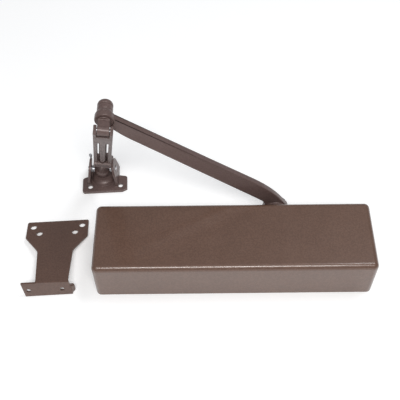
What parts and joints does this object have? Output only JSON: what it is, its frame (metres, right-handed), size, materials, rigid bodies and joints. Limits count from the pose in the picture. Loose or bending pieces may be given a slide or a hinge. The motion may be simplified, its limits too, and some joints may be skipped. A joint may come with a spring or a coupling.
{
  "type": "door closer",
  "caption": "Surface-mounted hydraulic door closer with a plain rectangular cover, a regular folding arm with an adjustable forearm and shoe, and a loose parallel-arm bracket.",
  "frame": {"origin": "on the door face under the middle of the cast body, where the closer bears on the door", "axes": "+X along the body towards the spindle end, +Y along the spindle towards the arm, +Z away from the door out through the cover"},
  "size_m": [0.4002, 0.205, 0.1979],
  "materials": {
    "cover_bronze": "satin dark bronze paint with a fine metallic grain",
    "arm_bronze": "semi-gloss dark bronze paint on forged steel",
    "bracket_bronze": "satin dark bronze paint on plate steel",
    "cast_iron": "sand-cast, oiled",
    "steel": "turned and zinc plated",
    "brass": "turned",
    "rubber": "moulded nitrile"
  },
  "bodies": {
    "closer_body": {"cover": "cover_bronze", "cylinder_body": "cast_iron", "left_end_plug": "steel", "right_end_plug": "steel", "left_plug_seal": "rubber", "right_plug_seal": "rubber", "spring_adjuster": "steel", "spring_seat": "steel", "main_spring": "steel", "near_bearing": "steel", "far_bearing": "steel", "near_spindle_seal": "rubber", "far_spindle_seal": "rubber", "near_bearing_cap": "steel", "far_bearing_cap": "steel", "closing_speed_valve": "brass", "latch_speed_valve": "brass", "backcheck_valve": "brass", "mounting_screw_1": "steel", "mounting_screw_2": "steel", "mounting_screw_3": "steel", "mounting_screw_4": "steel", "left_cover_clip": "steel", "right_cover_clip": "steel"},
    "piston": {"rack_piston": "steel"},
    "main_arm": {"spindle": "steel", "main_arm": "arm_bronze", "arm_washer": "steel", "arm_screw": "steel"},
    "elbow": {"elbow_stud": "arm_bronze", "elbow_washer": "arm_bronze", "elbow_nut": "arm_bronze", "elbow_cap": "arm_bronze", "knuckle_pin": "steel"},
    "forearm": {"forearm_yoke": "arm_bronze", "rod_lock_nut": "arm_bronze"},
    "rod": {"forearm_rod": "arm_bronze"},
    "shoe": {"shoe": "arm_bronze", "shoe_pin": "steel", "pin_lock_screw": "steel"},
    "bracket": {"parallel_arm_bracket": "bracket_bronze"}
  },
  "joints": [
    {"name": "arm_swing", "type": "hinge", "parent": "closer_body", "child": "main_arm", "pos_m": [0.051, 0, 0.0275], "axis": [0, 1, 0], "range_deg": [0, 110], "stiffness_Nm_per_rad": 3, "springref_deg": -85.94},
    {"name": "piston_travel", "type": "slide", "parent": "closer_body", "child": "piston", "axis": [1, 0, 0], "range_m": [-0.018, 0], "deforming": ["main_spring"]},
    {"name": "elbow_swing", "type": "hinge", "parent": "main_arm", "child": "elbow", "pos_m": [-0.132, 0.055, 0.188], "axis": [0, 1, 0], "range_deg": [0, 95]},
    {"name": "knuckle_tilt", "type": "hinge", "parent": "elbow", "child": "forearm", "pos_m": [-0.132, 0.039, 0.188], "axis": [0.9885, 0, -0.1513], "range_deg": [-10, 3]},
    {"name": "forearm_extension", "type": "slide", "parent": "forearm", "child": "rod", "axis": [-0.1362, 0.4349, -0.8901], "range_m": [0, 0.03]},
    {"name": "shoe_pitch", "type": "hinge", "parent": "rod", "child": "shoe", "pos_m": [-0.15758, 0.12068, 0.02084], "axis": [1, 0, 0], "range_deg": [-45, 45]},
    {"name": "bracket_slide", "type": "slide", "parent": "closer_body", "child": "bracket", "axis": [-1, 0, 0], "range_m": [0, 0.15]}
  ],
  "couplings": [
    {"joint": "piston_travel", "follows": "arm_swing", "m_per_rad": -0.009}
  ]
}
